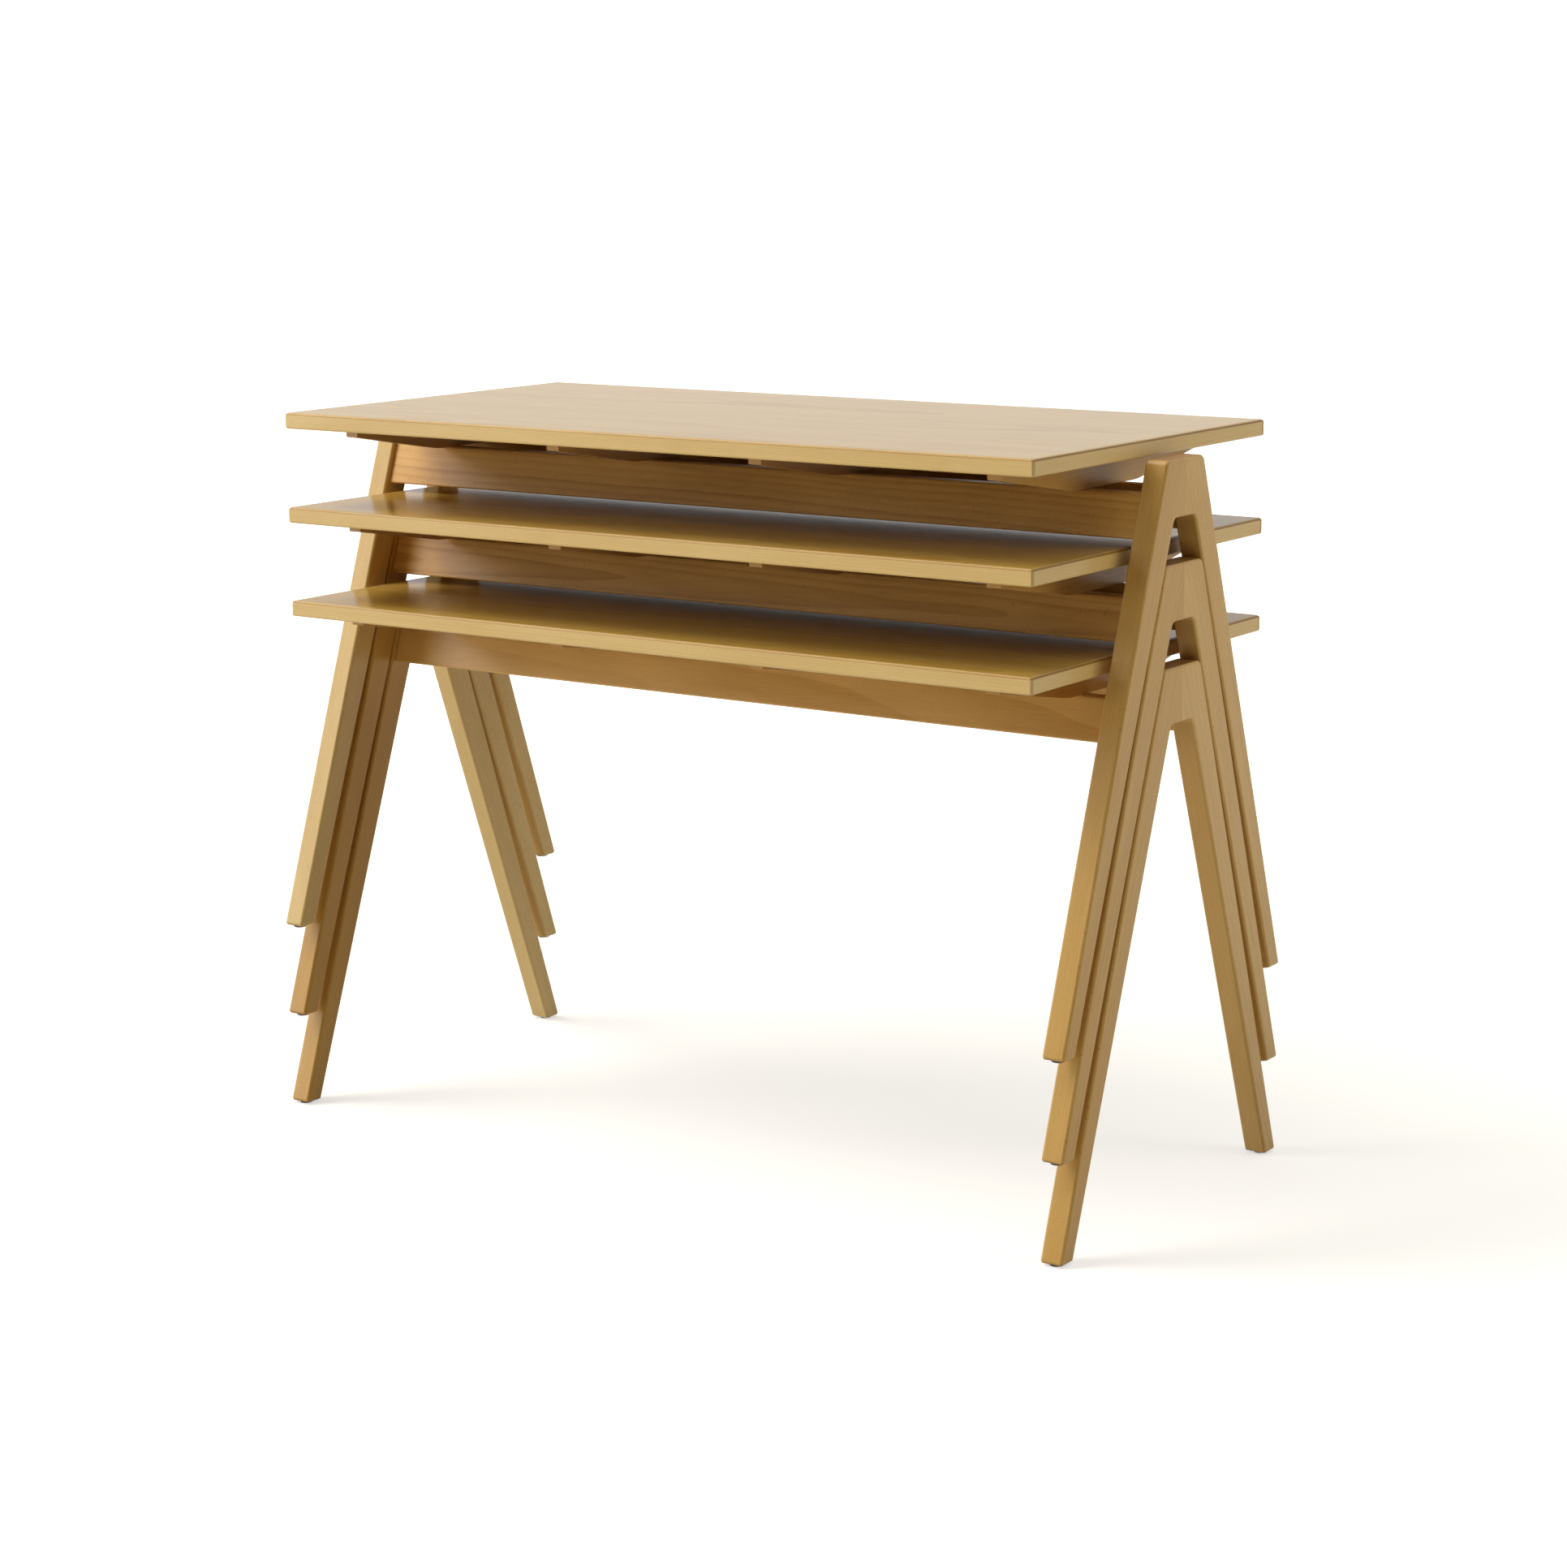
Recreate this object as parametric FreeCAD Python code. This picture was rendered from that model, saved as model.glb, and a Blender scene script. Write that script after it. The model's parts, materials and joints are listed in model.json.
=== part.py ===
import FreeCAD, Part
import math
import os

# A stack of three identical trestle tables. The rigid A-shaped end frames nest in each other,
# so each table stands on the shoulders of the frames below it and lifts straight off.
# Millimetres, +X along the top, +Y towards the rear, +Z up, origin on the floor at the centre.

os.makedirs("parts", exist_ok=True)
Vector = FreeCAD.Vector

# The stack, from the floor up
table_names = ("lower", "middle", "upper")
nest_gap = 0.3

# Top panel and the hardwood lipping round its edge
table_height = 740.0
top_length = 1200.0
top_depth = 600.0
top_thickness = 22.0
lipping_thickness = 6.0
top_upper_round = 4.0
top_lower_round = 2.5

# End frames, each cut as two legs that are glued together down the middle of the head
frame_gap = 13.0
frame_thickness = 32.0
frame_arris = 2.5
foot_spread = 583.0
foot_width = 30.0
foot_round = 4.0
head_drop = 22.0
head_width = 95.0
head_round = 10.0
crotch_drop = 74.0
crotch_width = 53.5
crotch_round = 10.0

# Loose tongue across the glue joint in each head
tongue_thickness = 8.0
tongue_reach = 22.0
tongue_margin = 14.0

# Rails between the end frames, leaning with the legs, and their stub tenons
rail_height = 56.0
rail_thickness = 20.0
rail_inset = 7.0
rail_arris = 2.0
tenon_thickness = 10.0
tenon_shoulder = 8.0
tenon_length = 16.0

# Bearers across the underside of the top, resting on the rails
bearer_width = 20.0
bearer_depth = 41.5
bearer_tip_depth = 12.0
bearer_tip_inset = 46.0
bearer_bend_radius = 150.0
bearer_flat_overhang = 30.0
bearer_end_inset = 81.0
inner_bearer_spacing = 328.0

# Loose tenons where the bearers cross the rails
loose_tenon_length = 12.0
loose_tenon_thickness = 8.0
loose_tenon_in_rail = 10.0
loose_tenon_in_bearer = 20.0

# Screws that hold the top down on the bearers
screw_tip_inset = 56.0
screw_grip = 14.0
screw_bite = 13.0
screw_radius = 2.0
screw_head_radius = 4.0
screw_head_height = 2.8
screw_sides = 8

# Glides under the feet
glide_height = 3.0
glide_radius = 9.0
glide_sides = 16

# Clearances
joint_clearance = 0.15
end_clearance = 1.0
screw_clearance = 0.2
counterbore_clearance = 0.75

# Levels above the floor
underside = table_height - top_thickness
rail_top = underside - bearer_depth
rail_bottom = rail_top - rail_height
head_top = table_height - head_drop
crotch_level = head_top - crotch_drop
foot_level = glide_height

# Places along X
frame_inner = top_length / 2 + frame_gap
frame_middle = frame_inner + frame_thickness / 2
bearer_places = {
    "left_outer": bearer_end_inset - top_length / 2,
    "left_inner": -inner_bearer_spacing / 2,
    "right_inner": inner_bearer_spacing / 2,
    "right_outer": top_length / 2 - bearer_end_inset,
}

# Lean of the legs: how far their outer and inner edges come in for each millimetre of height
outer_lean = (foot_spread - head_width) / 2 / (head_top - foot_level)
foot_inner = foot_spread / 2 - foot_width
inner_lean = (foot_inner - crotch_width / 2) / (crotch_level - foot_level)
outer_slant = math.hypot(1, outer_lean)
inner_slant = math.hypot(1, inner_lean)


def leg_outer(level):
    """Distance of a leg's outer edge from the middle of the table at a height."""
    return foot_spread / 2 - outer_lean * (level - foot_level)


def within_leg(depth, level):
    """Distance from the middle of a line that lies that deep in the leg's outer edge."""
    return leg_outer(level) - depth * outer_slant


# A table sinks on to the one below until the first of these touches, less the nesting gap:
# its legs on the rounded shoulders of the head, its feet on the legs, its crotch on the top of
# the head, or its rails on the top panel.
shoulder_level = head_top - head_round
shoulder_centre = leg_outer(shoulder_level) - head_round * outer_slant
legs_on_shoulders = (
    (head_round + nest_gap) * inner_slant + shoulder_centre - foot_inner
) / inner_lean + shoulder_level - foot_level
feet_on_legs = (foot_width + nest_gap * outer_slant) / outer_lean
crotch_on_head = crotch_drop + nest_gap
rails_on_top = table_height - rail_bottom + nest_gap
stack_pitch = max(legs_on_shoulders, feet_on_legs, crotch_on_head, rails_on_top)


def rounded_profile(corners):
    """Closed face in the YZ plane through (y, z, radius) corners, each rounded by its radius."""
    edges = []
    points = [Vector(0, y, z) for y, z, radius in corners]
    starts = []
    ends = []
    for place, corner in enumerate(corners):
        point = points[place]
        back = (points[place - 1] - point).normalize()
        ahead = (points[(place + 1) % len(points)] - point).normalize()
        half_angle = back.getAngle(ahead) / 2
        radius = corner[2]
        if radius == 0:
            starts.append(point)
            ends.append(point)
            continue
        tangent = radius / math.tan(half_angle)
        start = point + back * tangent
        end = point + ahead * tangent
        inward = (back + ahead).normalize()
        middle = point + inward * (radius / math.sin(half_angle) - radius)
        edges.append(Part.Arc(start, middle, end).toShape())
        starts.append(start)
        ends.append(end)
    for place, end in enumerate(ends):
        edges.append(Part.LineSegment(end, starts[(place + 1) % len(starts)]).toShape())
    return Part.Face(Part.Wire(Part.__sortEdges__(edges)))


def bar(profile, start, length):
    """Solid from a YZ profile, drawn out along X from a start."""
    solid = profile.extrude(Vector(length, 0, 0))
    solid.translate(Vector(start, 0, 0))
    return solid


def block(x_low, x_high, y_low, y_high, z_low, z_high):
    """Box between two corners."""
    size = (x_high - x_low, y_high - y_low, z_high - z_low)
    return Part.makeBox(size[0], size[1], size[2], Vector(x_low, y_low, z_low))


def post(sides, radius, x, y, z_low, z_high):
    """Upright post, round but for a number of flat sides."""
    points = []
    for side in range(sides + 1):
        turn = 2 * math.pi * (side % sides + 0.5) / sides
        points.append(Vector(x + radius * math.cos(turn), y + radius * math.sin(turn), z_low))
    return Part.Face(Part.makePolygon(points)).extrude(Vector(0, 0, z_high - z_low))


def to_front(shape):
    """The same piece on the front side of the table."""
    return shape.mirror(Vector(0, 0, 0), Vector(0, 1, 0))


def to_left(shape):
    """The same piece at the left end of the table."""
    return shape.mirror(Vector(0, 0, 0), Vector(1, 0, 0))


def leaning_section(depth_low, depth_high, level_low, level_high):
    """Profile between two depths into the leg and two heights, leaning with the leg."""
    corners = []
    for depth, level in (
        (depth_low, level_low),
        (depth_low, level_high),
        (depth_high, level_high),
        (depth_high, level_low),
    ):
        corners.append((within_leg(depth, level), level, 0))
    return rounded_profile(corners)


rail_outer_at_top = within_leg(rail_inset, rail_top)
rail_middle_at_top = within_leg(rail_inset + rail_thickness / 2, rail_top)
tenon_start = rail_inset + (rail_thickness - tenon_thickness) / 2
tenon_low = rail_bottom + tenon_shoulder
tenon_high = rail_top - tenon_shoulder
bearer_reach = top_depth / 2 - bearer_tip_inset
screw_place = bearer_reach - screw_tip_inset
screw_seat = underside - screw_grip


def make_top():
    """Top panel and its four lippings, cut from one block so that their faces run through."""
    half_length = top_length / 2
    half_depth = top_depth / 2
    blank = block(-half_length, half_length, -half_depth, half_depth, underside, table_height)
    upper = [e for e in blank.Edges if e.BoundBox.ZMin > table_height - joint_clearance]
    blank = blank.makeFillet(top_upper_round, upper)
    lower = [e for e in blank.Edges if e.BoundBox.ZMax < underside + joint_clearance]
    blank = blank.makeFillet(top_lower_round, lower)
    core_x = half_length - lipping_thickness
    core_y = half_depth - lipping_thickness
    panel = blank.common(block(-core_x, core_x, -core_y, core_y, underside, table_height))
    rear = blank.common(block(-half_length, half_length, core_y, half_depth, underside, table_height))
    right = blank.common(block(core_x, half_length, -core_y, core_y, underside, table_height))
    for x in bearer_places.values():
        for y in (-screw_place, screw_place):
            pilot_end = underside + screw_bite + end_clearance
            pilot = post(screw_sides, screw_radius + screw_clearance, x, y, underside, pilot_end)
            panel = panel.cut(pilot)
    return panel, rear, right


def make_rear_leg():
    """Right rear leg with its half of the head, mortised for the rail and grooved for the tongue."""
    outline = rounded_profile(
        (
            (0, crotch_level, 0),
            (crotch_width / 2, crotch_level, crotch_round),
            (foot_inner, foot_level, foot_round),
            (foot_spread / 2, foot_level, foot_round),
            (head_width / 2, head_top, head_round),
            (0, head_top, 0),
        )
    )
    leg = bar(outline, frame_inner, frame_thickness)
    arrises = []
    for edge in leg.Edges:
        box = edge.BoundBox
        if box.XLength < joint_clearance and box.YMax > joint_clearance:
            arrises.append(edge)
    leg = leg.makeChamfer(frame_arris, arrises)
    mortise = leaning_section(
        tenon_start - joint_clearance,
        tenon_start + tenon_thickness + joint_clearance,
        tenon_low - joint_clearance,
        tenon_high + joint_clearance,
    )
    leg = leg.cut(bar(mortise, frame_inner, tenon_length + end_clearance))
    groove_half = tongue_thickness / 2 + joint_clearance
    groove = block(
        frame_middle - groove_half,
        frame_middle + groove_half,
        0,
        tongue_reach + end_clearance,
        crotch_level + tongue_margin,
        head_top - tongue_margin + joint_clearance,
    )
    return leg.cut(groove)


def make_head_tongue():
    """Loose tongue across the glue joint in the right frame's head."""
    return block(
        frame_middle - tongue_thickness / 2,
        frame_middle + tongue_thickness / 2,
        -tongue_reach,
        tongue_reach,
        crotch_level + tongue_margin,
        head_top - tongue_margin,
    )


def make_rear_rail():
    """Rear rail with a stub tenon at each end and a socket under each bearer."""
    section = leaning_section(rail_inset, rail_inset + rail_thickness, rail_bottom, rail_top)
    rail = bar(section, -frame_inner, 2 * frame_inner)
    lengthways = [e for e in rail.Edges if e.BoundBox.XLength > frame_inner]
    rail = rail.makeChamfer(rail_arris, lengthways)
    tenon = leaning_section(tenon_start, tenon_start + tenon_thickness, tenon_low, tenon_high)
    reach = frame_inner + tenon_length
    rail = rail.fuse(bar(tenon, -reach, 2 * reach)).removeSplitter()
    for x in bearer_places.values():
        rail = rail.cut(loose_tenon_block(x, joint_clearance, 0))
    return rail


def loose_tenon_block(x, side, above):
    """A loose tenon over the rear rail, or its socket when grown by clearances."""
    half_length = loose_tenon_length / 2 + side
    half_thickness = loose_tenon_thickness / 2 + side
    return block(
        x - half_length,
        x + half_length,
        rail_middle_at_top - half_thickness,
        rail_middle_at_top + half_thickness,
        rail_top - loose_tenon_in_rail,
        rail_top + loose_tenon_in_bearer + above,
    )


def make_bearer(x):
    """Bearer at a place along the top: flat over the rails, then tapered to blunt tips."""
    flat = rail_outer_at_top + bearer_flat_overhang
    tip = underside - bearer_tip_depth
    profile = rounded_profile(
        (
            (-bearer_reach, underside, 0),
            (-bearer_reach, tip, 0),
            (-flat, rail_top, bearer_bend_radius),
            (flat, rail_top, bearer_bend_radius),
            (bearer_reach, tip, 0),
            (bearer_reach, underside, 0),
        )
    )
    bearer = bar(profile, x - bearer_width / 2, bearer_width)
    socket = loose_tenon_block(x, joint_clearance, end_clearance)
    bearer = bearer.cut(socket).cut(to_front(socket))
    hole_radius = screw_radius + screw_clearance
    counterbore_radius = screw_head_radius + counterbore_clearance
    for y in (-screw_place, screw_place):
        bearer = bearer.cut(post(screw_sides, hole_radius, x, y, rail_top, underside))
        bearer = bearer.cut(post(screw_sides, counterbore_radius, x, y, rail_top, screw_seat))
    return bearer


def make_screw(x, y):
    """Pan-head screw up through a bearer into the top panel."""
    head = post(screw_sides, screw_head_radius, x, y, screw_seat - screw_head_height, screw_seat)
    shank = post(screw_sides, screw_radius, x, y, screw_seat, underside + screw_bite)
    return head.fuse(shank)


def export_in_stack(piece_name, shape):
    """Write a piece once for each table of the stack, at that table's height."""
    for level, table_name in enumerate(table_names):
        placed = shape.copy()
        placed.translate(Vector(0, 0, level * stack_pitch))
        placed.exportStep("parts/%s_%s.step" % (table_name, piece_name))


top_panel, rear_lipping, right_lipping = make_top()
export_in_stack("top_panel", top_panel)
export_in_stack("rear_lipping", rear_lipping)
export_in_stack("front_lipping", to_front(rear_lipping))
export_in_stack("right_lipping", right_lipping)
export_in_stack("left_lipping", to_left(right_lipping))

rear_leg = make_rear_leg()
front_leg = to_front(rear_leg)
export_in_stack("right_rear_leg", rear_leg)
export_in_stack("right_front_leg", front_leg)
export_in_stack("left_rear_leg", to_left(rear_leg))
export_in_stack("left_front_leg", to_left(front_leg))
head_tongue = make_head_tongue()
export_in_stack("head_tongues", Part.makeCompound([head_tongue, to_left(head_tongue)]))

rear_rail = make_rear_rail()
export_in_stack("rear_rail", rear_rail)
export_in_stack("front_rail", to_front(rear_rail))

loose_tenons = []
screws = []
for bearer_name, bearer_x in bearer_places.items():
    export_in_stack(bearer_name + "_bearer", make_bearer(bearer_x))
    loose_tenon = loose_tenon_block(bearer_x, 0, 0)
    loose_tenons += [loose_tenon, to_front(loose_tenon)]
    screws += [make_screw(bearer_x, -screw_place), make_screw(bearer_x, screw_place)]
export_in_stack("bearer_tenons", Part.makeCompound(loose_tenons))
export_in_stack("top_screws", Part.makeCompound(screws))

foot_middle = (foot_spread - foot_width) / 2
glides = []
for glide_x in (-frame_middle, frame_middle):
    for glide_y in (-foot_middle, foot_middle):
        glides.append(post(glide_sides, glide_radius, glide_x, glide_y, 0, glide_height))
export_in_stack("foot_glides", Part.makeCompound(glides))

print("stack pitch %.2f mm, stack height %.2f mm" % (stack_pitch, table_height + 2 * stack_pitch))
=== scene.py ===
import json
import math

import bmesh
import bpy
from mathutils import Matrix, Vector

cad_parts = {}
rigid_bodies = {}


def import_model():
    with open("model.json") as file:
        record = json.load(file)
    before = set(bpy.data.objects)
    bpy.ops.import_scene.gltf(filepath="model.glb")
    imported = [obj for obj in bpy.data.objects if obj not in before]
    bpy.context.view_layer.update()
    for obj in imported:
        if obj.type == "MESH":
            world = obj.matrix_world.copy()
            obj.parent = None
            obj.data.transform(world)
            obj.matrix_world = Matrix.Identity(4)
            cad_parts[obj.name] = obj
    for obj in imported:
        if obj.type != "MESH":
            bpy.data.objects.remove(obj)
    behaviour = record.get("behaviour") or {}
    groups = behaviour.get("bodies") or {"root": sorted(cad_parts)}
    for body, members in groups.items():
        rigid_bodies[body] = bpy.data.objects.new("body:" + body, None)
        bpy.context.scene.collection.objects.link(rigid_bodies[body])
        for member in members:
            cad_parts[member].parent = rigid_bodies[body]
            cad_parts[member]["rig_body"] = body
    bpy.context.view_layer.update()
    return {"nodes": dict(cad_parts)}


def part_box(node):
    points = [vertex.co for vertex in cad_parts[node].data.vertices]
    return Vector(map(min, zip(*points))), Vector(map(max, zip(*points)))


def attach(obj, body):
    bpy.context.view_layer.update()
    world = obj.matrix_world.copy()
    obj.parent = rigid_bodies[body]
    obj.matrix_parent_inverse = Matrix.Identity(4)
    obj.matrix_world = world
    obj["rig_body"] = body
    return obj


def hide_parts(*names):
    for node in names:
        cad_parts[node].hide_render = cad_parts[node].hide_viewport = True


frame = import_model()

nodes = frame["nodes"]
tables = ("lower", "middle", "upper")

# End frames
# Each A-shaped end frame is two tapered legs of solid beech, sawn from flat boards and glued
# together down the middle of the head. Their arrises are eased and the frame is lacquered satin.
leg_slope = 0.3541
leg_lean = math.atan(leg_slope)
leg_pith = (0, 0.02, 0.11)
leg_arris_round = 0.0016
arris_steps = 3
arris_angle = math.radians(28)
crease_angle = math.radians(40)
flat_angle = math.radians(1)
flush_gap = 0.0002
weld_distance = 1e-6

# The pale and the deep colour of the legs' beech: the plain colours, and lighter and darker copies
# that are painted light and painted shade for the legs that aren't plain
leg_colours_with_painted_light = {
    "plain": ((0.67, 0.415, 0.130, 1), (0.52, 0.275, 0.060, 1)),
    "pale": ((0.70, 0.49, 0.200, 1), (0.56, 0.35, 0.105, 1)),
    "deep": ((0.57, 0.33, 0.076, 1), (0.44, 0.218, 0.037, 1)),
    "warm": ((0.72, 0.46, 0.155, 1), (0.56, 0.31, 0.075, 1)),
    "bright": ((0.79, 0.58, 0.250, 1), (0.64, 0.41, 0.135, 1)),
}
painted_light_of_leg = {
    "lower_left_front": "deep",
    "middle_left_front": "deep",
    "upper_left_front": "pale",
    "lower_left_rear": "bright",
    "middle_left_rear": "bright",
    "upper_left_rear": "bright",
    "lower_right_rear": "warm",
    "middle_right_rear": "warm",
    "upper_right_rear": "warm",
}


def eased_piece(node_name, width, stays_sharp=None):
    """New piece in a node's place, with its arrises rounded but for the edges that stay sharp."""
    source = nodes[node_name].data
    shape = bmesh.new()
    corners = [shape.verts.new(vertex.co) for vertex in source.vertices]
    for face in source.polygons:
        shape.faces.new([corners[place] for place in face.vertices])
    bmesh.ops.remove_doubles(shape, verts=shape.verts, dist=weld_distance)
    bmesh.ops.dissolve_limit(shape, angle_limit=flat_angle, verts=shape.verts, edges=shape.edges)
    arrises = []
    for edge in shape.edges:
        if not edge.is_manifold or edge.calc_face_angle() <= arris_angle:
            continue
        if not (stays_sharp and stays_sharp(edge)):
            arrises.append(edge)
    bmesh.ops.bevel(shape, geom=arrises, offset=width, offset_type="OFFSET", segments=arris_steps,
                    profile=0.5, affect="EDGES", clamp_overlap=True)
    return piece_from(shape, node_name + "_finished", node_name)


def piece_from(shape, name, node_name):
    """Object from a finished shape that stands for a node and rides on its body."""
    for edge in shape.edges:
        edge.smooth = edge.calc_face_angle(0.0) < crease_angle
    mesh = bpy.data.meshes.new(name)
    shape.to_mesh(mesh)
    shape.free()
    for face in mesh.polygons:
        face.use_smooth = True
    piece = bpy.data.objects.new(name, mesh)
    bpy.context.scene.collection.objects.link(piece)
    piece.modifiers.new("flat_faces", "WEIGHTED_NORMAL").keep_sharp = True
    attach(piece, nodes[node_name]["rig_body"])
    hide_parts(node_name)
    return piece


def at_glue_joint(edge):
    """True for the edges along the glue joint in the middle of a head."""
    return all(abs(vertex.co.y) < flush_gap for vertex in edge.verts)


def add_node(tree, kind, inputs=None, **settings):
    """Node with its properties set and its inputs filled with values or linked to sockets."""
    node = tree.nodes.new("ShaderNode" + kind)
    for name, value in settings.items():
        setattr(node, name, value)
    for name, value in (inputs or {}).items():
        if isinstance(value, bpy.types.NodeSocket):
            tree.links.new(value, node.inputs[name])
        else:
            node.inputs[name].default_value = value
    return node


def compute(tree, operation, *values):
    """Output of a math node over numbers and sockets."""
    return add_node(tree, "Math", dict(enumerate(values)), operation=operation).outputs[0]


def stretch(tree, vector, scale):
    """A vector times a fixed scale on each axis."""
    node = add_node(tree, "VectorMath", {0: vector, 1: scale}, operation="MULTIPLY")
    return node.outputs[0]


def noise(tree, vector, detail, distortion=0.0):
    """Plain noise from 0 to 1 at the scale that the vector already has."""
    inputs = {"Vector": vector, "Scale": 1.0, "Detail": detail, "Distortion": distortion}
    return add_node(tree, "TexNoise", inputs).outputs["Fac"]


def ramp(tree, value, start, end):
    """Smooth step from 0 at start to 1 at end."""
    inputs = {"Value": value, "From Min": start, "From Max": end}
    node = add_node(tree, "MapRange", inputs, interpolation_type="SMOOTHSTEP")
    return node.outputs["Result"]


def blend_colour(tree, share, first, second, mode="MIX"):
    """Mix of two colours."""
    inputs = {0: share, 6: first, 7: second}
    return add_node(tree, "Mix", inputs, data_type="RGBA", blend_type=mode).outputs[2]


def new_material(name):
    """Material with a plain shader; gives it and its node tree."""
    material = bpy.data.materials.new(name)
    material.use_nodes = True
    return material, material.node_tree


def wire_shader(tree, colour, roughness, bump):
    """Link colour, roughness and bump to a material's shader; gives the shader's inputs."""
    inputs = tree.nodes["Principled BSDF"].inputs
    tree.links.new(colour, inputs["Base Color"])
    tree.links.new(roughness, inputs["Roughness"])
    tree.links.new(bump.outputs["Normal"], inputs["Normal"])
    return inputs


def new_group(name, inputs, outputs):
    """Shader node group with named sockets; gives the tree, its inputs and its outputs."""
    tree = bpy.data.node_groups.new(name, "ShaderNodeTree")
    for socket_name, kind in inputs:
        tree.interface.new_socket(name=socket_name, in_out="INPUT", socket_type="NodeSocket" + kind)
    for socket_name, kind in outputs:
        tree.interface.new_socket(name=socket_name, in_out="OUTPUT", socket_type="NodeSocket" + kind)
    return tree, tree.nodes.new("NodeGroupInput").outputs, tree.nodes.new("NodeGroupOutput").inputs


# Beech: features to the metre along, across and through the board, and how strongly each shows
wander_scale = (1.6, 9.0, 9.0)
fleck_scale = (260.0, 1100.0, 60.0)
fibre_scale = (18.0, 700.0, 700.0)
cloud_scale = (4.0, 20.0, 20.0)
ring_wander = 0.014
ring_run_out = 0.012
faintest_ring = 0.2
late_wood_start = 0.35
late_wood_full = 0.97
fleck_rim = 0.34
fleck_core = 0.10
fleck_absent = 0.5
fleck_certain = 0.9
end_grain_start = 0.6
end_grain_full = 0.95
middle_tone = 0.38
fibre_contrast = 0.55
fleck_tint = (0.45, 0.36, 0.27, 1)
end_grain_tint = (0.46, 0.35, 0.19, 1)
lacquer_roughness = 0.24
fibre_roughness = 0.12
ring_roughness = 0.05
end_grain_roughness = 0.15
fleck_rise = -0.5
ring_rise = -0.3


def make_beech():
    """Solid beech: growth rings round a pith, ray flecks, fibres, cloudy tone and end grain."""
    tree, given, result = new_group(
        "beech",
        (("Point", "Vector"), ("Facing", "Vector"), ("Pith", "Vector"), ("Pale", "Color"),
         ("Deep", "Color"), ("Ring Width", "Float"), ("Figure", "Float"), ("Flecks", "Float"),
         ("Clouds", "Float"), ("End Grain", "Float")),
        (("Colour", "Color"), ("Roughness", "Float"), ("Height", "Float")),
    )
    point = given["Point"]
    from_pith = add_node(tree, "VectorMath", {0: point, 1: given["Pith"]}, operation="SUBTRACT")
    along, across, through = add_node(tree, "SeparateXYZ", {0: from_pith.outputs[0]}).outputs

    # Rings, which wander and run out along the board
    wander = noise(tree, stretch(tree, point, wander_scale), detail=2.0)
    distance = compute(tree, "SQRT", compute(
        tree, "ADD", compute(tree, "MULTIPLY", across, across),
        compute(tree, "MULTIPLY", through, through)))
    wandered = compute(tree, "MULTIPLY_ADD", wander, ring_wander, distance)
    radius = compute(tree, "MULTIPLY_ADD", along, ring_run_out, wandered)
    turns = compute(tree, "DIVIDE", radius, given["Ring Width"])
    chance = add_node(
        tree, "TexWhiteNoise", {"W": compute(tree, "FLOOR", turns)}, noise_dimensions="1D"
    ).outputs["Value"]
    ring_strength = compute(tree, "MULTIPLY_ADD", chance, 1 - faintest_ring, faintest_ring)
    late_wood = ramp(tree, compute(tree, "FRACT", turns), late_wood_start, late_wood_full)
    rings = compute(tree, "MULTIPLY", late_wood, ring_strength)
    rings = compute(tree, "MULTIPLY", rings, given["Figure"])

    # Ray flecks: thin plates that point at the pith
    turn = compute(tree, "ARCTAN2", through, across)
    round_pith = compute(tree, "MULTIPLY", turn, distance)
    fleck_point = add_node(tree, "CombineXYZ", {0: along, 1: round_pith, 2: distance}).outputs[0]
    cells = add_node(tree, "TexVoronoi", {
        "Vector": stretch(tree, fleck_point, fleck_scale), "Scale": 1.0}).outputs
    chosen = add_node(tree, "SeparateColor", {0: cells["Color"]}).outputs[0]
    plate = ramp(tree, cells["Distance"], fleck_rim, fleck_core)
    fleck = compute(tree, "MULTIPLY", plate, ramp(tree, chosen, fleck_absent, fleck_certain))
    fleck = compute(tree, "MULTIPLY", fleck, given["Flecks"])

    # Fibres, slow clouds and end grain
    fibre = noise(tree, stretch(tree, point, fibre_scale), detail=3.0)
    clouds = noise(tree, stretch(tree, point, cloud_scale), detail=3.0, distortion=0.4)
    facing_along = add_node(tree, "SeparateXYZ", {0: given["Facing"]}).outputs[0]
    end_grain = ramp(tree, compute(tree, "ABSOLUTE", facing_along), end_grain_start, end_grain_full)
    end_grain = compute(tree, "MULTIPLY", end_grain, given["End Grain"])

    tone = compute(tree, "MULTIPLY", compute(tree, "SUBTRACT", clouds, 0.5), given["Clouds"])
    tone = compute(tree, "MULTIPLY_ADD", compute(tree, "SUBTRACT", fibre, 0.5), fibre_contrast, tone)
    tone = compute(tree, "ADD", compute(tree, "ADD", tone, middle_tone), rings)
    colour = blend_colour(tree, tone, given["Pale"], given["Deep"])
    colour = blend_colour(tree, fleck, colour, fleck_tint, "MULTIPLY")
    colour = blend_colour(tree, end_grain, colour, end_grain_tint, "MULTIPLY")
    tree.links.new(colour, result["Colour"])
    roughness = compute(tree, "MULTIPLY_ADD", fibre, fibre_roughness, lacquer_roughness)
    roughness = compute(tree, "MULTIPLY_ADD", rings, ring_roughness, roughness)
    roughness = compute(tree, "MULTIPLY_ADD", end_grain, end_grain_roughness, roughness)
    tree.links.new(roughness, result["Roughness"])
    height = compute(tree, "MULTIPLY_ADD", fleck, fleck_rise, fibre)
    tree.links.new(compute(tree, "MULTIPLY_ADD", rings, ring_rise, height), result["Height"])
    return tree


# Wear and painted highlight on the arrises: its reach from the edge, its patches and the paler colour,
# which is the wood that shows through and a painted highlight
wear_and_highlight_reach = 0.0025
wear_and_highlight_start = 0.995
wear_and_highlight_full = 0.90
patch_scale = (30.0, 60.0, 60.0)
patch_start = 0.3
patch_full = 0.7
rubbed_and_highlight_share = 0.45
rubbed_roughness = 0.15
rubbed_and_highlight_colour = (0.72, 0.51, 0.23, 1)


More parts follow.
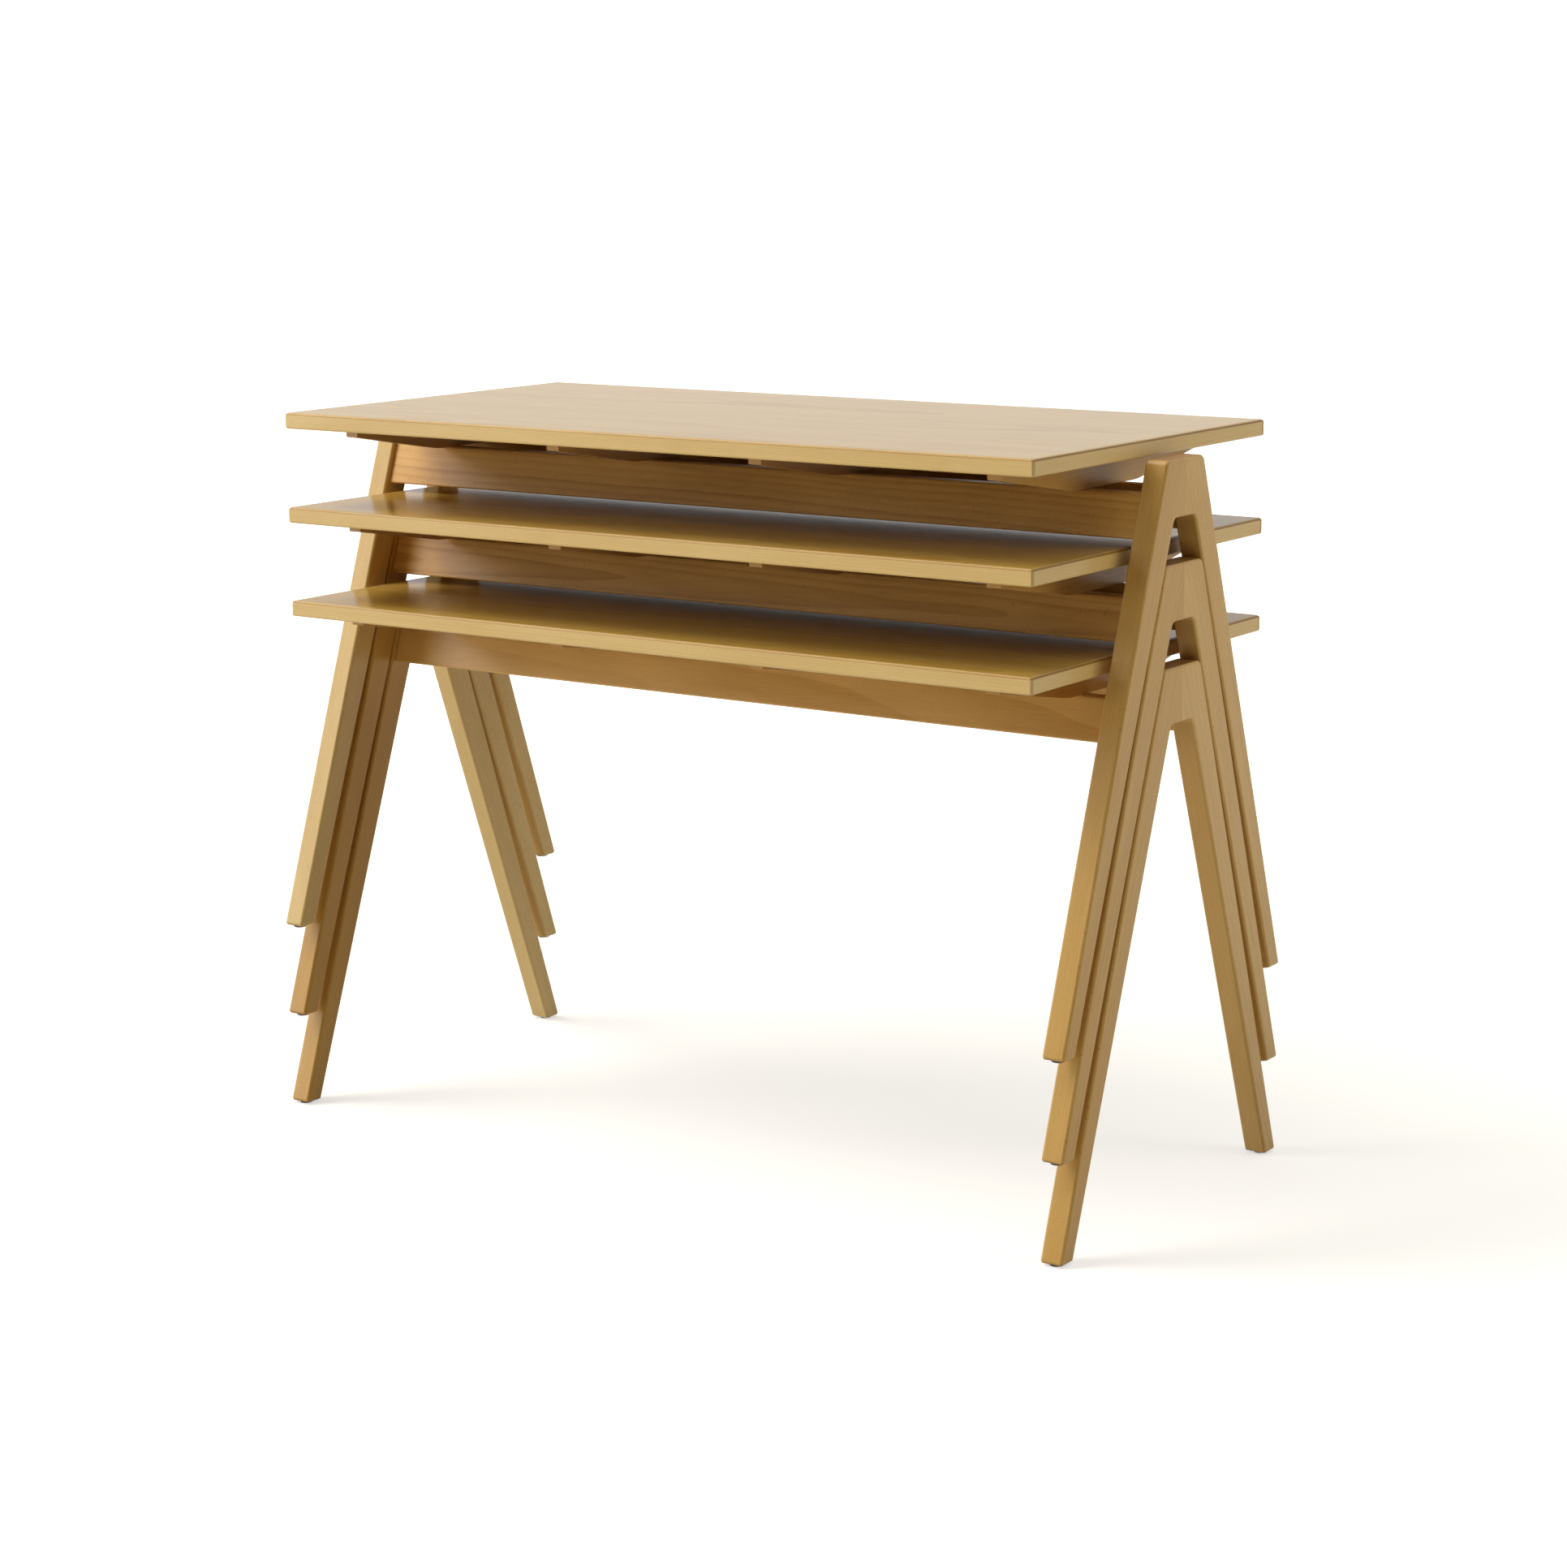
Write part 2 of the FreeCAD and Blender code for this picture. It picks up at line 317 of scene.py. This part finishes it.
def make_arris_wear_and_highlight():
    """Mask of the arrises, where handling has rubbed the lacquer thin and uneven and where a paler
    colour paints their highlight.
    """
    tree, given, result = new_group("arris wear and highlight", (("Point", "Vector"),), (("Mask", "Float"),))
    rounded = add_node(tree, "Bevel", {"Radius": wear_and_highlight_reach}, samples=4).outputs[0]
    flat = add_node(tree, "NewGeometry").outputs["Normal"]
    agreement = add_node(tree, "VectorMath", {0: rounded, 1: flat}, operation="DOT_PRODUCT")
    edge = ramp(tree, agreement.outputs["Value"], wear_and_highlight_start, wear_and_highlight_full)
    uneven = noise(tree, stretch(tree, given["Point"], patch_scale), detail=3.0)
    patches = ramp(tree, uneven, patch_start, patch_full)
    tree.links.new(compute(tree, "MULTIPLY", edge, patches), result["Mask"])
    return tree


beech = make_beech()
arris_wear_and_highlight = make_arris_wear_and_highlight()


def lacquered_beech(name, turn, pith, pale, deep, **grain):
    """Satin-lacquered beech whose grain runs along local X after the turn."""
    material, tree = new_material(name)
    place = add_node(tree, "TexCoord").outputs
    point = add_node(tree, "Mapping", {"Vector": place["Object"], "Rotation": turn}).outputs[0]
    facing = add_node(tree, "Mapping", {"Vector": place["Normal"], "Rotation": turn}).outputs[0]
    finish_beech(tree, point, facing, pith, pale, deep, **grain)
    return material


def finish_beech(tree, point, facing, pith, pale, deep, ring_width, figure, flecks, clouds,
                 end_grain=1.0, shine=0.2, gloss=1.0):
    """Wire the beech and the worn arrises, whose paler colour is also a painted highlight, into a
    material's lacquered shader.
    """
    wood = add_node(tree, "Group", node_tree=beech, inputs={
        "Point": point, "Facing": facing, "Pith": pith, "Pale": pale, "Deep": deep,
        "Ring Width": ring_width, "Figure": figure, "Flecks": flecks, "Clouds": clouds,
        "End Grain": end_grain})
    wear_and_highlight = add_node(tree, "Group", {"Point": point}, node_tree=arris_wear_and_highlight)
    rubbed_and_highlight = compute(tree, "MULTIPLY", wear_and_highlight.outputs["Mask"], rubbed_and_highlight_share)
    # The rubbed arrises turn paler: worn lacquer and a painted highlight
    colour = blend_colour(tree, rubbed_and_highlight, wood.outputs["Colour"], rubbed_and_highlight_colour)
    roughness = compute(tree, "MULTIPLY", wood.outputs["Roughness"], gloss)
    roughness = compute(tree, "MULTIPLY_ADD", rubbed_and_highlight, rubbed_roughness, roughness)
    bump = add_node(tree, "Bump", {
        "Height": wood.outputs["Height"], "Strength": 0.12, "Distance": 0.0004})
    inputs = wire_shader(tree, colour, roughness, bump)
    inputs["Coat Weight"].default_value = 0.05
    inputs["Coat Roughness"].default_value = 0.2
    inputs["Specular IOR Level"].default_value = shine
    inputs["IOR"].default_value = 1.5


for depth_name, lean in (("front", leg_lean), ("rear", -leg_lean)):
    leg_finishes = {}
    for table in tables:
        for side in ("left", "right"):
            leg_name = f"{table}_{side}_{depth_name}"
            # Some legs take a lighter copy of the beech as painted light, and some a darker copy as
            # painted shade
            leg_lighting = painted_light_of_leg.get(leg_name, "plain")
            if leg_lighting not in leg_finishes:
                leg_finishes[leg_lighting] = lacquered_beech(
                    f"{leg_lighting}_{depth_name}_leg_beech", (lean, math.radians(90), 0), leg_pith,
                    *leg_colours_with_painted_light[leg_lighting], ring_width=0.0035, figure=0.30, flecks=0.75, clouds=0.9)
            leg = eased_piece(f"{leg_name}_leg", leg_arris_round, at_glue_joint)
            leg.data.materials.append(leg_finishes[leg_lighting])

# Rails
# Two solid beech rails join the end frames, leaning with the legs and stub-tenoned into them.
# Planed boards with eased long edges, flat-sawn, so a few cathedral lines show on their faces.
rail_arris_round = 0.0009

# For each table's rails, the place of the pith and the pale and the deep colour; the lower table's
# colours are paler, as painted light on its rails
rail_grain_and_painted_light = {
    "lower": ((0, 0.10, 0.57), (0.83, 0.52, 0.170, 1), (0.56, 0.295, 0.065, 1)),
    "middle": ((0, -0.035, 0.762), (0.77, 0.445, 0.125, 1), (0.49, 0.235, 0.042, 1)),
    "upper": ((0, 0.12, 0.70), (0.77, 0.445, 0.125, 1), (0.49, 0.235, 0.042, 1)),
}
for table in tables:
    rail_finish = lacquered_beech(
        f"{table}_rail_beech", (0, 0, 0), *rail_grain_and_painted_light[table],
        ring_width=0.0055, figure=0.50, flecks=0.55, clouds=1.1)
    for depth_name in ("front", "rear"):
        rail = eased_piece(f"{table}_{depth_name}_rail", rail_arris_round)
        rail.data.materials.append(rail_finish)

# Bearers
# Four beech battens cross the underside of each top and rest on the rails. Their ends are
# band-sawn to a taper, and they are sanded and lacquered with the rest.
bearer_arris_round = 0.0014
bearer_pith = (0, 0.05, 0.62)
# The bearers' colours are a little darker than the legs', as painted shade under the tops
bearer_pale = (0.65, 0.385, 0.110, 1)
bearer_deep = (0.495, 0.255, 0.053, 1)
bearer_names = ("left_outer", "left_inner", "right_inner", "right_outer")
bearer_finish = lacquered_beech(
    "bearer_beech", (0, 0, math.radians(90)), bearer_pith, bearer_pale, bearer_deep,
    ring_width=0.0035, figure=0.25, flecks=0.6, clouds=0.8, end_grain=0.1)
for table in tables:
    for bearer_name in bearer_names:
        bearer = eased_piece(f"{table}_{bearer_name}_bearer", bearer_arris_round)
        bearer.data.materials.append(bearer_finish)

# Tongues and loose tenons
# Short blocks of bare beech, glued into the heads and into the rails and bearers. They are hidden
# once the table is together, so the lacquered shader serves with bare wood's paler colours.
bare_pith = (0, 0.05, 0.62)
bare_pale = (0.62, 0.46, 0.25, 1)
bare_deep = (0.50, 0.34, 0.15, 1)
bare_finish = lacquered_beech(
    "bare_beech", (0, 0, 0), bare_pith, bare_pale, bare_deep,
    ring_width=0.0035, figure=0.25, flecks=0.6, clouds=0.8)
for table in tables:
    for hidden_name in ("head_tongues", "bearer_tenons"):
        nodes[f"{table}_{hidden_name}"].data.materials[0] = bare_finish

# Top panels
# Each top is a board faced with crown-cut beech veneer, laid in leaves side by side along the
# length, with a hardwood lipping glued round it and the whole face lacquered satin.
veneer_leaf = 0.146
veneer_shift = 0.071
veneer_slice = 0.006
veneer_table_slice = 0.7
veneer_pith = (0, 0.01, 0.45)
veneer_pale = (0.505, 0.317, 0.071, 1)
veneer_deep = (0.40, 0.220, 0.034, 1)


def make_veneer():
    """Beech veneer in bookmatched leaves along X, cut from a deeper slice on each higher table."""
    material, tree = new_material("top_veneer")
    place = add_node(tree, "TexCoord").outputs
    along, aside, above_floor = add_node(tree, "SeparateXYZ", {0: place["Object"]}).outputs
    leaf_turns = compute(tree, "DIVIDE", compute(tree, "ADD", aside, veneer_shift), veneer_leaf)
    leaf = compute(tree, "FLOOR", leaf_turns)
    in_leaf = compute(tree, "PINGPONG", leaf_turns, 1.0)
    across = compute(tree, "MULTIPLY_ADD", in_leaf, veneer_leaf, -veneer_leaf / 2)
    table_slice = compute(tree, "MULTIPLY", above_floor, veneer_table_slice)
    depth = compute(tree, "MULTIPLY_ADD", leaf, veneer_slice, table_slice)
    point = add_node(tree, "CombineXYZ", {0: along, 1: across, 2: depth}).outputs[0]
    finish_beech(
        tree, point, place["Normal"], veneer_pith, veneer_pale, veneer_deep,
        ring_width=0.0042, figure=0.60, flecks=0.35, clouds=1.0, shine=0.03, gloss=0.5)
    return material


veneer = make_veneer()
for table in tables:
    nodes[f"{table}_top_panel"].data.materials[0] = veneer

# Lippings
# Solid beech strips glued to the panel's edges, then rounded over top and bottom. The front and
# rear strips run through, so their end grain shows at the corners.
corner_round = 0.0017
lipping_pith = (0, 0.1, 0.3)
lipping_pale = (0.77, 0.55, 0.225, 1)
lipping_deep = (0.63, 0.40, 0.125, 1)
# The painted shade along the lippings' upper round: how far below the top it starts and ends, how it
# fades, and the tint of the painted shade on their top
shade_line_low = 0.0036
shade_line_high = 0.0004
shade_line_fade = 0.0008
shaded_top_tint = (0.66, 0.56, 0.37, 1)
panel_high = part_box("lower_top_panel")[1]

# The strips that run one way, how far their grain is turned and the tint of the painted shade line
# along them
lipping_runs = (
    (("front", "rear"), 0, (0.66, 0.53, 0.30, 1)),
    (("left", "right"), math.radians(90), (0.45, 0.33, 0.145, 1)),
)


def lipping_beech(name, turn, top_level, shade_line_tint):
    """Beech with a golden line of painted shade along its upper round and a golden painted shade on
    its top.
    """
    material = lacquered_beech(
        name, turn, lipping_pith, lipping_pale, lipping_deep,
        ring_width=0.003, figure=0.34, flecks=0.5, clouds=0.9, end_grain=0.55)
    tree = material.node_tree
    shader = tree.nodes["Principled BSDF"]
    plain = shader.inputs["Base Color"].links[0].from_socket
    place = add_node(tree, "TexCoord").outputs["Object"]
    height = add_node(tree, "SeparateXYZ", {0: place}).outputs[2]
    # Painted shade: a line along the upper round, and the top darkened
    above = ramp(tree, height, top_level - shade_line_low, top_level - shade_line_low + shade_line_fade)
    below = ramp(tree, height, top_level - shade_line_high, top_level - shade_line_high - shade_line_fade)
    shade_line = compute(tree, "MULTIPLY", above, below)
    shade_lined_colour = blend_colour(tree, shade_line, plain, shade_line_tint, "MULTIPLY")
    shaded_top = ramp(tree, height, top_level - shade_line_high, top_level - shade_line_high / 2)
    shaded_top_colour = blend_colour(tree, shaded_top, shade_lined_colour, shaded_top_tint, "MULTIPLY")
    tree.links.new(shaded_top_colour, shader.inputs["Base Color"])
    return material


def at_panel(edge):
    """True for the edges where a lipping meets the panel or another lipping flush."""
    inside = []
    for vertex in edge.verts:
        within_length = abs(vertex.co.x) < panel_high.x + flush_gap
        within_depth = abs(vertex.co.y) < panel_high.y + flush_gap
        inside.append(within_length or within_depth)
    return all(inside)


for table in tables:
    top_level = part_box(f"{table}_top_panel")[1].z
    for edge_names, turn, shade_line_tint in lipping_runs:
        finish = lipping_beech(
            f"{table}_{edge_names[0]}_lipping_beech", (0, 0, turn), top_level, shade_line_tint)
        for edge_name in edge_names:
            lipping = eased_piece(f"{table}_{edge_name}_lipping", corner_round, at_panel)
            lipping.data.materials.append(finish)

# Top screws
# Two pan-head screws go up through each bearer into the top panel, sunk in counterbores. They are
# rolled from steel wire and zinc plated, with a hexagon socket in the head.
screw_sides = 24
screw_head_radius = 0.0037
screw_head_height = 0.0028
head_flat_share = 0.62
head_dome_share = 0.6
head_dome_turns = (30, 50, 70, 90)
socket_radius = 0.0015
socket_depth = 0.0016
socket_chamfer = 0.00015
socket_mouth_share = 1.15
thread_radius = 0.002
thread_depth = 0.0006
thread_pitch = 0.0016
thread_steps = 4
tip_length = 0.003
tip_radius = 0.0002
zinc_cloud_scale = (900.0, 900.0, 900.0)
zinc_ring_scale = (2500.0, 2500.0, 9000.0)
zinc_bright = (0.62, 0.61, 0.56, 1)
zinc_dull = (0.40, 0.40, 0.39, 1)
zinc_roughness = 0.25
zinc_cloud_roughness = 0.25


def ring(shape, centre, height, radius_at, sides):
    """Ring of corners round an upright axis, with the radius that each turn has."""
    corners = []
    for step in range(sides):
        turn = math.tau * step / sides
        radius = radius_at(turn)
        corners.append(shape.verts.new((
            centre.x + radius * math.cos(turn), centre.y + radius * math.sin(turn), height)))
    return corners


def skin(shape, rings):
    """Close rings of corners into one skin, with a flat face at each end."""
    faces = [shape.faces.new(rings[0]), shape.faces.new(rings[-1])]
    for lower, upper in zip(rings, rings[1:]):
        for place in range(len(lower)):
            after = (place + 1) % len(lower)
            faces.append(shape.faces.new((lower[place], lower[after], upper[after], upper[place])))
    bmesh.ops.recalc_face_normals(shape, faces=faces)


def add_screw(shape, centre, seat, tip):
    """Screw from the bottom of its socket, over the pan head and up the thread to the tip."""
    def hexagon(turn):
        side = math.radians(60)
        return socket_radius * math.cos(side / 2) / math.cos(turn % side - side / 2)

    def add_round(height, radius):
        rings.append(ring(shape, centre, height, lambda turn: radius, screw_sides))

    low = seat - screw_head_height
    rings = [ring(shape, centre, low + socket_depth, hexagon, screw_sides)]
    rings.append(ring(shape, centre, low + socket_chamfer, hexagon, screw_sides))
    add_round(low, socket_radius * socket_mouth_share)
    add_round(low, screw_head_radius * head_flat_share)
    for turn in head_dome_turns:
        swell = head_flat_share + (1 - head_flat_share) * math.sin(math.radians(turn))
        climb = head_dome_share * (1 - math.cos(math.radians(turn)))
        add_round(low + screw_head_height * climb, screw_head_radius * swell)
    add_round(seat, screw_head_radius)
    add_round(seat, thread_radius)
    steps = round((tip - seat) / thread_pitch * thread_steps)
    for step in range(1, steps):
        height = seat + (tip - seat) * step / steps
        taper = min(1.0, (tip - height) / tip_length)

        def thread(turn):
            phase = (height / thread_pitch - turn / math.tau) % 1.0
            ridge = abs(2 * phase - 1)
            return taper * (thread_radius - thread_depth * (1 - ridge))

        rings.append(ring(shape, centre, height, thread, screw_sides))
    add_round(tip, tip_radius)
    skin(shape, rings)


def make_zinc():
    """Zinc plating: dull grey with cloudy passivation and fine turning rings."""
    material, tree = new_material("zinc_steel")
    point = add_node(tree, "TexCoord").outputs["Object"]
    cloud = noise(tree, stretch(tree, point, zinc_cloud_scale), detail=4.0)
    turning = noise(tree, stretch(tree, point, zinc_ring_scale), detail=2.0)
    colour = blend_colour(tree, cloud, zinc_bright, zinc_dull)
    roughness = compute(tree, "MULTIPLY_ADD", cloud, zinc_cloud_roughness, zinc_roughness)
    bump = add_node(tree, "Bump", {"Height": turning, "Strength": 0.15, "Distance": 0.0001})
    wire_shader(tree, colour, roughness, bump)["Metallic"].default_value = 1.0
    return material


zinc = make_zinc()
for table in tables:
    screw_low, screw_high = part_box(f"{table}_top_screws")
    screws = bmesh.new()
    for bearer_name in bearer_names:
        bearer_low, bearer_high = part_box(f"{table}_{bearer_name}_bearer")
        for screw_y in (screw_low.y + screw_head_radius, screw_high.y - screw_head_radius):
            axis = Vector(((bearer_low.x + bearer_high.x) / 2, screw_y, 0))
            add_screw(screws, axis, screw_low.z + screw_head_height, screw_high.z)
    piece = piece_from(screws, f"{table}_top_screws_finished", f"{table}_top_screws")
    piece.data.materials.append(zinc)

# Foot glides
# A dark nylon glide is pressed on under each foot by its own pin. It is moulded, with a rounded
# rim that slides over the floor and a shallow dish in the middle.
glide_sides = 40
glide_radius = 0.009
glide_rim_round = 0.0016
glide_top_ease = 0.0003
dish_middle_radius = 0.0005
dish_floor_radius = 0.0028
dish_bend_radius = 0.0035
dish_mouth_radius = 0.0042
dish_depth = 0.0008
dish_bend_depth = 0.00032
nylon_grain_scale = (1800.0, 1800.0, 1800.0)
nylon_dark = (0.022, 0.018, 0.015, 1)
nylon_scuffed = (0.10, 0.095, 0.09, 1)
nylon_roughness = 0.38
nylon_grain_roughness = 0.2
scuff_start = -0.6
scuff_full = -0.95


def add_glide(shape, centre, floor_level, top):
    """Glide from the middle of its dish, over the rounded rim, up to the foot."""
    outline = [(dish_middle_radius, floor_level + dish_depth),
               (dish_floor_radius, floor_level + dish_depth),
               (dish_bend_radius, floor_level + dish_bend_depth),
               (dish_mouth_radius, floor_level)]
    for turn in range(0, 91, 15):
        swell = math.sin(math.radians(turn))
        drop = math.cos(math.radians(turn))
        outline.append((glide_radius - glide_rim_round * (1 - swell),
                        floor_level + glide_rim_round * (1 - drop)))
    outline += [(glide_radius, top - glide_top_ease), (glide_radius - glide_top_ease, top)]
    rings = []
    for radius, height in outline:
        rings.append(ring(shape, centre, height, lambda turn, radius=radius: radius, glide_sides))
    skin(shape, rings)


def make_nylon():
    """Dark nylon with a fine moulded grain, scuffed grey where it slides."""
    material, tree = new_material("dark_nylon")
    point = add_node(tree, "TexCoord").outputs["Object"]
    grain = noise(tree, stretch(tree, point, nylon_grain_scale), detail=3.0)
    facing = add_node(tree, "NewGeometry").outputs["Normal"]
    facing_up = add_node(tree, "SeparateXYZ", {0: facing}).outputs[2]
    scuffed = compute(tree, "MULTIPLY", ramp(tree, facing_up, scuff_start, scuff_full), grain)
    colour = blend_colour(tree, scuffed, nylon_dark, nylon_scuffed)
    roughness = compute(tree, "MULTIPLY_ADD", grain, nylon_grain_roughness, nylon_roughness)
    bump = add_node(tree, "Bump", {"Height": grain, "Strength": 0.25, "Distance": 0.0001})
    wire_shader(tree, colour, roughness, bump)
    return material


nylon = make_nylon()
for table in tables:
    glide_low, glide_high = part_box(f"{table}_foot_glides")
    glides = bmesh.new()
    for side in ("left", "right"):
        leg_low, leg_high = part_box(f"{table}_{side}_front_leg")
        for glide_y in (glide_low.y + glide_radius, glide_high.y - glide_radius):
            axis = Vector(((leg_low.x + leg_high.x) / 2, glide_y, 0))
            add_glide(glides, axis, glide_low.z, glide_high.z)
    piece = piece_from(glides, f"{table}_foot_glides_finished", f"{table}_foot_glides")
    piece.data.materials.append(nylon)

# Floor
# A plain pale studio floor that runs into the white background. It adds its own white to what the
# camera and reflections see, and keeps the tables' soft shadow.
floor_reach = 30.0
floor_colour = (0.58, 0.54, 0.47, 1)
floor_white_near = 0.60
floor_white_far = 1.0
floor_near = 0.8
floor_far = 4.0
floor_mesh = bpy.data.meshes.new("floor")
floor_mesh.from_pydata(
    [(-floor_reach, -floor_reach, 0), (floor_reach, -floor_reach, 0),
     (floor_reach, floor_reach, 0), (-floor_reach, floor_reach, 0)], [], [(0, 1, 2, 3)])
floor = bpy.data.objects.new("floor", floor_mesh)
bpy.context.scene.collection.objects.link(floor)


def mirror_rays(tree, rays):
    """1 for the rays that show a surface in a mirror or through glass, else 0."""
    return compute(tree, "MAXIMUM", rays["Is Glossy Ray"], rays["Is Transmission Ray"])


floor_finish, floor_tree = new_material("pale_floor")
floor_shader = floor_tree.nodes["Principled BSDF"]
floor_shader.inputs["Base Color"].default_value = floor_colour
floor_shader.inputs["Roughness"].default_value = 0.9
floor_shader.inputs["Specular IOR Level"].default_value = 0.0
floor_rays = add_node(floor_tree, "LightPath").outputs
floor_seen = compute(
    floor_tree, "MAXIMUM", floor_rays["Is Camera Ray"], mirror_rays(floor_tree, floor_rays))
floor_place = add_node(floor_tree, "TexCoord").outputs["Object"]
from_middle = add_node(floor_tree, "VectorMath", {0: floor_place}, operation="LENGTH").outputs["Value"]
white = compute(floor_tree, "MULTIPLY_ADD", ramp(floor_tree, from_middle, floor_near, floor_far),
                floor_white_far - floor_white_near, floor_white_near)
floor_glow = add_node(floor_tree, "Emission", {
    "Color": (1, 1, 1, 1), "Strength": compute(floor_tree, "MULTIPLY", floor_seen, white)})
floor_sum = add_node(floor_tree, "AddShader", {0: floor_shader.outputs[0], 1: floor_glow.outputs[0]})
floor_tree.links.new(floor_sum.outputs[0], floor_tree.nodes["Material Output"].inputs["Surface"])
floor_mesh.materials.append(floor_finish)

# Studio light
# A white backdrop behind, a broad soft light overhead, three soft lamps at the front left and one
# at the right. The room before the tables is dark, so their inside stays deep.
overhead_level = 0.86
overhead_tint = (0.985, 1.01, 0.93, 1)
overhead_rim = 0.60
overhead_full = 0.82
backdrop_rim = -0.1
backdrop_full = 0.3
cool_white = (0.98, 1.0, 1.09)
low_cool_white = (0.97, 1.0, 1.09)
lamp_aim = Vector((0, 0, 0.6))
bpy.context.scene.view_settings.view_transform = "Standard"
studio = bpy.data.worlds.new("white_studio")
bpy.context.scene.world = studio
studio.use_nodes = True
studio_tree = studio.node_tree
compass = add_node(studio_tree, "TexCoord").outputs["Generated"]
way = add_node(studio_tree, "SeparateXYZ", {0: compass}).outputs
above = ramp(studio_tree, way["Z"], overhead_rim, overhead_full)
behind = ramp(studio_tree, way["Y"], backdrop_rim, backdrop_full)
rays = add_node(studio_tree, "LightPath").outputs
mirrored = mirror_rays(studio_tree, rays)
overhead = compute(studio_tree, "MULTIPLY", above, overhead_level)
backdrop = compute(studio_tree, "MULTIPLY", mirrored, behind)
level = compute(studio_tree, "MAXIMUM", overhead, backdrop)
level = compute(studio_tree, "MAXIMUM", level, rays["Is Camera Ray"])
seen = compute(studio_tree, "MAXIMUM", mirrored, rays["Is Camera Ray"])
background = studio_tree.nodes["Background"]
studio_tree.links.new(
    blend_colour(studio_tree, seen, overhead_tint, (1, 1, 1, 1)), background.inputs["Color"])
studio_tree.links.new(level, background.inputs["Strength"])


def soft_lamp(name, bearing, elevation, distance, width, power, colour=(1, 1, 1)):
    """Square lamp turned to the tables, its bearing counted from the front towards the left."""
    turn = math.radians(bearing)
    rise = math.radians(elevation)
    across = math.cos(rise)
    way_out = Vector((-math.sin(turn) * across, -math.cos(turn) * across, math.sin(rise)))
    data = bpy.data.lights.new(name, "AREA")
    data.size = width
    data.energy = power
    data.color = colour
    lamp = bpy.data.objects.new(name, data)
    lamp.location = lamp_aim + way_out * distance
    lamp.rotation_euler = (-way_out).to_track_quat("-Z", "Y").to_euler()
    bpy.context.scene.collection.objects.link(lamp)


soft_lamp("high_left_lamp", bearing=66, elevation=52, distance=12.0, width=6.0, power=900)
soft_lamp("front_left_lamp", bearing=48, elevation=28, distance=12.0, width=6.0, power=485,
          colour=cool_white)
soft_lamp("low_left_lamp", bearing=50, elevation=4, distance=12.0, width=3.0, power=270,
          colour=low_cool_white)
soft_lamp("right_lamp", bearing=-105, elevation=18, distance=3.5, width=1.4, power=21)

# Camera
# The photograph's standpoint: a little above the top, in front of the right end.
camera_place = Vector((2.6262, -3.7189, 1.4177))
camera_yaw = 0.6099
camera_pitch = -0.2004
camera_roll = -0.0071
camera_data = bpy.data.cameras.new("camera")
camera_data.sensor_width = 36.0
camera_data.lens = 77.02
camera = bpy.data.objects.new("camera", camera_data)
forward = Vector((-math.sin(camera_yaw) * math.cos(camera_pitch),
                  math.cos(camera_yaw) * math.cos(camera_pitch), math.sin(camera_pitch)))
level_right = Vector((math.cos(camera_yaw), math.sin(camera_yaw), 0))
level_up = level_right.cross(forward)
right = math.cos(camera_roll) * level_right + math.sin(camera_roll) * level_up
up = math.cos(camera_roll) * level_up - math.sin(camera_roll) * level_right
turned = Matrix((right, up, -forward)).transposed().to_4x4()
camera.matrix_world = Matrix.Translation(camera_place) @ turned
bpy.context.scene.collection.objects.link(camera)
bpy.context.scene.camera = camera
